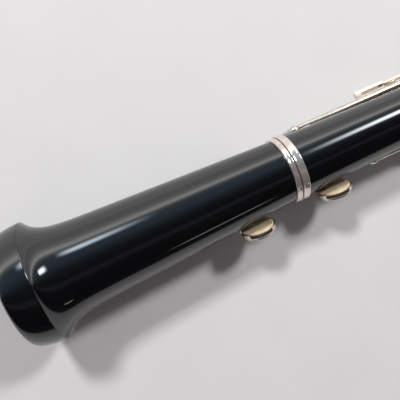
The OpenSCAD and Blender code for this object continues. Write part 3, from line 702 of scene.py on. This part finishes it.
def pad(node):
    """A felt pad in its skin: gently crowned, creased at its edge and marked by the rim of its tone hole."""
    centre, axis, radius, thickness = disc_of(node)
    r, t = radius / MM, thickness / MM
    print_r = 0.5 * (r + PAD_INSET) + RIM_W / 2
    face = []
    for x in steps(0, r - PAD_EDGE, 26):
        dent = PRINT_DEPTH * math.exp(-(((x - print_r) / PRINT_W) ** 2))
        face.append((t / 2 - 0.02 - PAD_FALL * (x / r) ** 4 - dent, x))
    edge_top = face[-1][0] - PAD_EDGE
    edge = arc((edge_top, r - 0.58), PAD_EDGE, 20, 90, 7)
    outline = face + edge + [(-t / 2, r - 0.03), (-t / 2, 0)]
    where = Matrix.Translation(centre) @ axis.to_track_quat("X", "Z").to_matrix().to_4x4()
    made = lathe(node + "_skin", outline, SLOT_MATERIALS["pad_skin"], 144, sharp=50)
    crimp = len(node)
    for v in made.data.vertices:
        if v.co.x > 0:
            out = math.hypot(v.co.y, v.co.z) / radius
            turn = math.atan2(v.co.z, v.co.y)
            pleat = math.sin(29 * turn + crimp) + 0.6 * math.sin(13 * turn + 2 * crimp)
            v.co.x += PLEAT * pleat * min(out, 1) ** 8
            v.co.x += WAVE * math.sin(2 * turn + crimp) * out
    made.data.transform(where)
    stand_in(made, node)


for name in sorted(frame["nodes"]):
    if name.endswith("_pad"):
        pad(name)


# ---------------------------------------------------------------- metalwork


WELD_REACH, EDGE_W = 2e-6, 0.28 * MM
FLAT_ANGLE, EDGE_ANGLE = math.radians(0.4), math.radians(32)


def refine(node):
    """Softens the edges of a CAD node's shown shape; its own mesh stays as it is."""
    made = frame["nodes"][node]
    weld = made.modifiers.new("weld", "WELD")
    weld.merge_threshold = WELD_REACH
    flat = made.modifiers.new("flat", "DECIMATE")
    flat.decimate_type = "DISSOLVE"
    flat.angle_limit = FLAT_ANGLE
    soft = made.modifiers.new("soft", "BEVEL")
    soft.width = EDGE_W
    soft.segments = 3
    soft.limit_method = "ANGLE"
    soft.angle_limit = EDGE_ANGLE
    soft.harden_normals = False
    soft.use_clamp_overlap = True
    even = made.modifiers.new("even", "WEIGHTED_NORMAL")
    even.keep_sharp = True
    made.data.polygons.foreach_set("use_smooth", [True] * len(made.data.polygons))


SLOT_OF = {part["node"]: part["material_slot"] for part in frame["record"]["subparts"]}
for name, node in sorted(frame["nodes"].items()):
    node.data.materials.clear()
    node.data.materials.append(SLOT_MATERIALS[SLOT_OF[name]])
    if name.endswith("_key") or name.endswith("_lever") or name == "thumb_rest":
        refine(name)


# ---------------------------------------------------------------- stage, light and camera


BEYOND_BELL = 0.1  # metres behind the lip, where the rest of the oboe may touch the table


def resting_plane():
    """The table's slope along the bore: it touches the bell's lip and the lowest key beyond it."""
    lip_x = (LIP_DEPTH - TOTAL) * MM
    slope = 1.0
    for name in frame["nodes"]:
        if name in ("bell", "bell_ring"):
            continue
        for v in frame["nodes"][name].data.vertices:
            if v.co.x > lip_x + BEYOND_BELL:
                slope = min(slope, (v.co.z + LIP_R * MM) / (v.co.x - lip_x))
    return lip_x, slope


TABLE_HALF, FADE_FROM = 1.3, 0.4  # metres, and the part of that where the fading starts


def floor_material():
    """A pale matt cloth that fades out before the table's edge."""
    s = Shader("table")
    weave = s.noise(35, 3)
    s.colour(s.ramp(weave, [(0.3, (0.715, 0.712, 0.715)), (0.7, (0.735, 0.732, 0.735))]))
    s.roughness(s.levels(weave, 0.62, 0.72))
    s.set(Specular_IOR_Level=0.25)
    away = s.node("ShaderNodeVectorMath", operation="LENGTH")
    s.link(s.place, away.inputs[0])
    fade = s.node("ShaderNodeMapRange", interpolation_type="SMOOTHSTEP")
    fade.inputs["From Min"].default_value = FADE_FROM * TABLE_HALF
    fade.inputs["From Max"].default_value = TABLE_HALF
    s.link(away.outputs["Value"], fade.inputs["Value"])
    mix = s.node("ShaderNodeMixShader")
    s.link(fade.outputs["Result"], mix.inputs[0])
    s.link(s.surface.outputs[0], mix.inputs[1])
    s.link(s.node("ShaderNodeBsdfTransparent").outputs[0], mix.inputs[2])
    s.link(mix.outputs[0], s.tree.nodes["Material Output"].inputs["Surface"])
    return s.material


def table():
    lip_x, slope = resting_plane()
    corners = []
    for x, y in ((-1, -1), (1, -1), (1, 1), (-1, 1)):
        corners.append((x * TABLE_HALF, y * TABLE_HALF, x * TABLE_HALF * slope))
    made = mesh_object("table", corners, [(0, 1, 2, 3)], floor_material())
    middle = -TOTAL / 2 * MM
    made.location = (middle, 0, -LIP_R * MM + (middle - lip_x) * slope)


def soft_edge(tree, axis, half, fade):
    """1 over the middle of a card and 0 at half its width, easing off over the last part of it."""
    place = tree.nodes.new("ShaderNodeTexCoord")
    split = tree.nodes.new("ShaderNodeSeparateXYZ")
    away = tree.nodes.new("ShaderNodeMath")
    away.operation = "ABSOLUTE"
    edge = tree.nodes.new("ShaderNodeMapRange")
    edge.interpolation_type = "SMOOTHSTEP"
    edge.inputs["From Min"].default_value = half * (1 - fade)
    edge.inputs["From Max"].default_value = half
    edge.inputs["To Min"].default_value = 1
    edge.inputs["To Max"].default_value = 0
    tree.links.new(place.outputs["Object"], split.inputs[0])
    tree.links.new(split.outputs[axis], away.inputs[0])
    tree.links.new(away.outputs[0], edge.inputs["Value"])
    return edge.outputs[0]


def card(name, along, elevation, size, colour, strength, fade):
    """A bright card that shows only in reflections, softer towards its edges.

    It faces a point on the bore that many metres along from the bell's middle, and stands at that
    elevation in degrees over the +Y side.
    """
    w, h = size
    target = Vector((BELL_X + along, 0, 0))
    e = math.radians(elevation)
    centre = target + CARD_DISTANCE * Vector((0, math.cos(e), math.sin(e)))
    corners = [(-w / 2, -h / 2, 0), (w / 2, -h / 2, 0), (w / 2, h / 2, 0), (-w / 2, h / 2, 0)]
    material = bpy.data.materials.new(name)
    material.use_nodes = True
    tree = material.node_tree
    tree.nodes.clear()
    across, upright = soft_edge(tree, "X", w / 2, fade[0]), soft_edge(tree, "Y", h / 2, fade[1])
    both = tree.nodes.new("ShaderNodeMath")
    both.operation = "MULTIPLY"
    glow = tree.nodes.new("ShaderNodeEmission")
    glow.inputs["Color"].default_value = (*colour, 1)
    glow.inputs["Strength"].default_value = strength
    clear = tree.nodes.new("ShaderNodeBsdfTransparent")
    mix = tree.nodes.new("ShaderNodeMixShader")
    out = tree.nodes.new("ShaderNodeOutputMaterial")
    tree.links.new(across, both.inputs[0])
    tree.links.new(upright, both.inputs[1])
    tree.links.new(both.outputs[0], mix.inputs[0])
    tree.links.new(clear.outputs[0], mix.inputs[1])
    tree.links.new(glow.outputs[0], mix.inputs[2])
    tree.links.new(mix.outputs[0], out.inputs["Surface"])
    made = mesh_object(name, corners, [(0, 1, 2, 3)], material)
    back = centre - target
    bore = Vector((1, 0, 0))
    axes = Matrix([bore.cross(back).normalized(), bore, back.normalized()]).transposed()
    made.matrix_world = Matrix.Translation(centre) @ axes.to_4x4()
    made.visible_camera = False
    made.visible_diffuse = False
    made.visible_shadow = False
    made.visible_transmission = False


def lamp(name, direction, power):
    """A soft lamp on the bell that casts shadows and doesn't show in reflections."""
    data = bpy.data.lights.new(name, "AREA")
    data.shape = "RECTANGLE"
    data.size = data.size_y = LAMP_SIZE
    data.energy = power
    data.color = (1.0, 0.995, 0.99)
    made = bpy.data.objects.new(name, data)
    scene.collection.objects.link(made)
    made.location = Vector((BELL_X, 0, 0)) + LAMP_DISTANCE * Vector(direction).normalized()
    made.rotation_euler = (Vector((BELL_X, 0, 0)) - made.location).to_track_quat("-Z", "Y").to_euler()
    made.visible_glossy = False


BELL_X = MOUTH_X + (LIP_DEPTH + 45.114) * MM  # the camera, lamps and cards are placed from here
CAMERA_HEIGHT = 201.513 * MM
CAMERA_TURN = Vector((-0.04505084, 0.12600535, 0.426212))  # its length is the angle in radians
LENS = 42.43
LAMP_DISTANCE, LAMP_SIZE = 1.2, 0.16
CARD_DISTANCE = 1.0


def camera():
    """Straight above the bell, turned so that the bore climbs to the right of the picture."""
    data = bpy.data.cameras.new("camera")
    data.sensor_width = 36
    data.lens = LENS
    data.clip_start = 0.01
    made = bpy.data.objects.new("camera", data)
    scene.collection.objects.link(made)
    turn = Matrix.Rotation(CAMERA_TURN.length, 3, CAMERA_TURN.normalized())
    made.matrix_world = Matrix.Translation((BELL_X, 0, CAMERA_HEIGHT)) @ turn.transposed().to_4x4()
    scene.camera = made


# What the polished wood reflects, by angle from straight overhead towards the player's left:
# a dark ceiling, a bluish glow, the bright top of a pale wall and the wall down to the table
ROOM = [
    (-90, (0.04, 0.04, 0.045)),
    (-76, (0.02, 0.02, 0.024)),
    (-38, (0.03, 0.029, 0.032)),
    (-27, (0.11, 0.108, 0.12)),
    (-17, (0.03, 0.033, 0.04)),
    (0, (0.05, 0.07, 0.09)),
    (12, (0.12, 0.17, 0.22)),
    (24, (0.20, 0.30, 0.40)),
    (36, (0.24, 0.34, 0.43)),
    (42, (0.32, 0.40, 0.47)),
    (46, (0.55, 0.62, 0.68)),
    (50, (1.0, 1.03, 1.06)),
    (53, (2.0, 2.0, 2.0)),
    (57, (2.4, 2.4, 2.4)),
    (62, (1.7, 1.7, 1.7)),
    (69, (1.05, 1.05, 1.05)),
    (78, (0.82, 0.82, 0.83)),
    (90, (0.75, 0.75, 0.76)),
]


def world():
    """Pale to the camera, an even fill for matt surfaces, and the room in reflections."""
    made = bpy.data.worlds.new("studio")
    made.use_nodes = True
    scene.world = made
    tree = made.node_tree
    tree.nodes.clear()
    out = tree.nodes.new("ShaderNodeOutputWorld")
    path = tree.nodes.new("ShaderNodeLightPath")
    place = tree.nodes.new("ShaderNodeTexCoord")
    split = tree.nodes.new("ShaderNodeSeparateXYZ")
    angle = tree.nodes.new("ShaderNodeMath")
    angle.operation = "ARCTAN2"
    spread = tree.nodes.new("ShaderNodeMapRange")
    spread.inputs["From Min"].default_value = -math.pi / 2
    spread.inputs["From Max"].default_value = math.pi / 2
    ramp = tree.nodes.new("ShaderNodeValToRGB")
    peak = max(max(colour) for _, colour in ROOM)
    for i, (degrees, colour) in enumerate(ROOM):
        at = (degrees + 90) / 180
        stop = ramp.color_ramp.elements[i] if i < 2 else ramp.color_ramp.elements.new(at)
        stop.position = at
        stop.color = (*(c / peak for c in colour), 1)
    tree.links.new(place.outputs["Generated"], split.inputs[0])
    tree.links.new(split.outputs["Y"], angle.inputs[0])
    tree.links.new(split.outputs["Z"], angle.inputs[1])
    tree.links.new(angle.outputs[0], spread.inputs["Value"])
    tree.links.new(spread.outputs[0], ramp.inputs[0])

    def background(colour, strength):
        node = tree.nodes.new("ShaderNodeBackground")
        if isinstance(colour, tuple):
            node.inputs["Color"].default_value = (*colour, 1)
        else:
            tree.links.new(colour, node.inputs["Color"])
        node.inputs["Strength"].default_value = strength
        return node.outputs[0]

    def choose(factor, a, b):
        node = tree.nodes.new("ShaderNodeMixShader")
        tree.links.new(factor, node.inputs[0])
        tree.links.new(a, node.inputs[1])
        tree.links.new(b, node.inputs[2])
        return node.outputs[0]

    fill = background((1.0, 0.89, 0.93), 0.15)
    room = background(ramp.outputs["Color"], peak)
    pale = background((0.96, 0.965, 0.97), 0.80)
    seen = choose(path.outputs["Is Glossy Ray"], fill, room)
    tree.links.new(choose(path.outputs["Is Camera Ray"], seen, pale), out.inputs["Surface"])


table()
camera()
world()
scene.view_settings.view_transform = "Standard"

# Two soft lamps cast the shadows; the cards are their streaks in the polish and a table's far edge
lamp("lamp_far", (0.78, 0.37, 1), 7.0)
lamp("lamp_near", (-0.20, 0.78, 1), 8.9)
card("streak_near", -0.17, 50.5, (0.30, 0.62), (0.76, 0.89, 1.0), 10, (1.0, 0.8))
card("streak_far", 1.05, 66.5, (0.36, 1.1), (0.92, 0.97, 1.0), 19, (1.0, 0.65))
card("table_edge", 0.26, 164, (0.05, 0.34), (1.0, 0.93, 0.85), 3, (1.0, 0.5))
